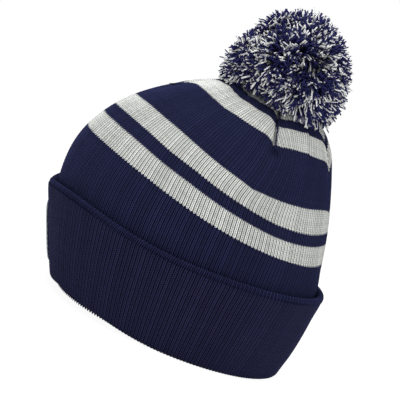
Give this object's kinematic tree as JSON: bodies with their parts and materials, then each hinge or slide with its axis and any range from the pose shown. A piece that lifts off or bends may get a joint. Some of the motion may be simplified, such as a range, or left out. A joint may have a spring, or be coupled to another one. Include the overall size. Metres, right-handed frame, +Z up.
{
  "type": "pom pom beanie",
  "caption": "Double-layer knitted bobble hat with a turned-up cuff, pale stripes knitted into a navy body, and a two-colour yarn pom on a gathered crown.",
  "frame": {"origin": "middle of the head opening, in the plane of the bottom fold that the hat stands on", "axes": "+Z up through the crown, -Y the front with the badge, +X the wearer's left"},
  "size_m": [0.1796, 0.2168, 0.2555],
  "materials": {
    "navy_knit": "matte",
    "grey_knit": "matte",
    "cuff_knit": "matte",
    "seam_thread": "matte",
    "pom_yarn": "matte",
    "binding_thread": "matte",
    "badge_twill": "satin",
    "badge_stitching": "satin",
    "label_tape": "satin"
  },
  "bodies": {
    "hat": {"shell_navy_lower": "navy_knit", "shell_stripe_lower": "grey_knit", "shell_navy_narrow": "navy_knit", "shell_stripe_middle": "grey_knit", "shell_navy_wide": "navy_knit", "shell_stripe_upper": "grey_knit", "shell_navy_upper": "navy_knit", "shell_crown": "grey_knit", "lining": "navy_knit", "cuff_inner": "cuff_knit", "cuff_outer": "cuff_knit", "cuff_hem": "cuff_knit", "dart_seam_front": "seam_thread", "dart_seam_left": "seam_thread", "dart_seam_back": "seam_thread", "dart_seam_right": "seam_thread", "lining_seam_front": "seam_thread", "lining_seam_left": "seam_thread", "lining_seam_back": "seam_thread", "lining_seam_right": "seam_thread", "crown_gather_thread": "seam_thread", "lining_closing_knot": "seam_thread", "badge_field": "badge_twill", "badge_border": "badge_stitching", "care_label": "label_tape"},
    "pom_anchor": {"pom_anchor": "seam_thread"},
    "pom_stem": {"pom_stem": "seam_thread", "pom_binding": "binding_thread"},
    "pom": {"pom_yarn": "pom_yarn"}
  },
  "joints": [
    {"name": "pom_rock_fore_aft", "type": "hinge", "parent": "hat", "child": "pom_anchor", "pos_m": [0, 0.01154, 0.1931], "axis": [1, 0, 0], "range_deg": [-10, 10], "stiffness_Nm_per_rad": 0.08},
    {"name": "pom_rock_sideways", "type": "hinge", "parent": "pom_anchor", "child": "pom_stem", "pos_m": [0, 0.01154, 0.1931], "axis": [0, 1, 0], "range_deg": [-10, 10], "stiffness_Nm_per_rad": 0.08},
    {"name": "pom_twist", "type": "hinge", "parent": "pom_stem", "child": "pom", "pos_m": [0, 0.01154, 0.2095], "axis": [0, 0, 1], "range_deg": [-45, 45], "stiffness_Nm_per_rad": 0.02}
  ]
}
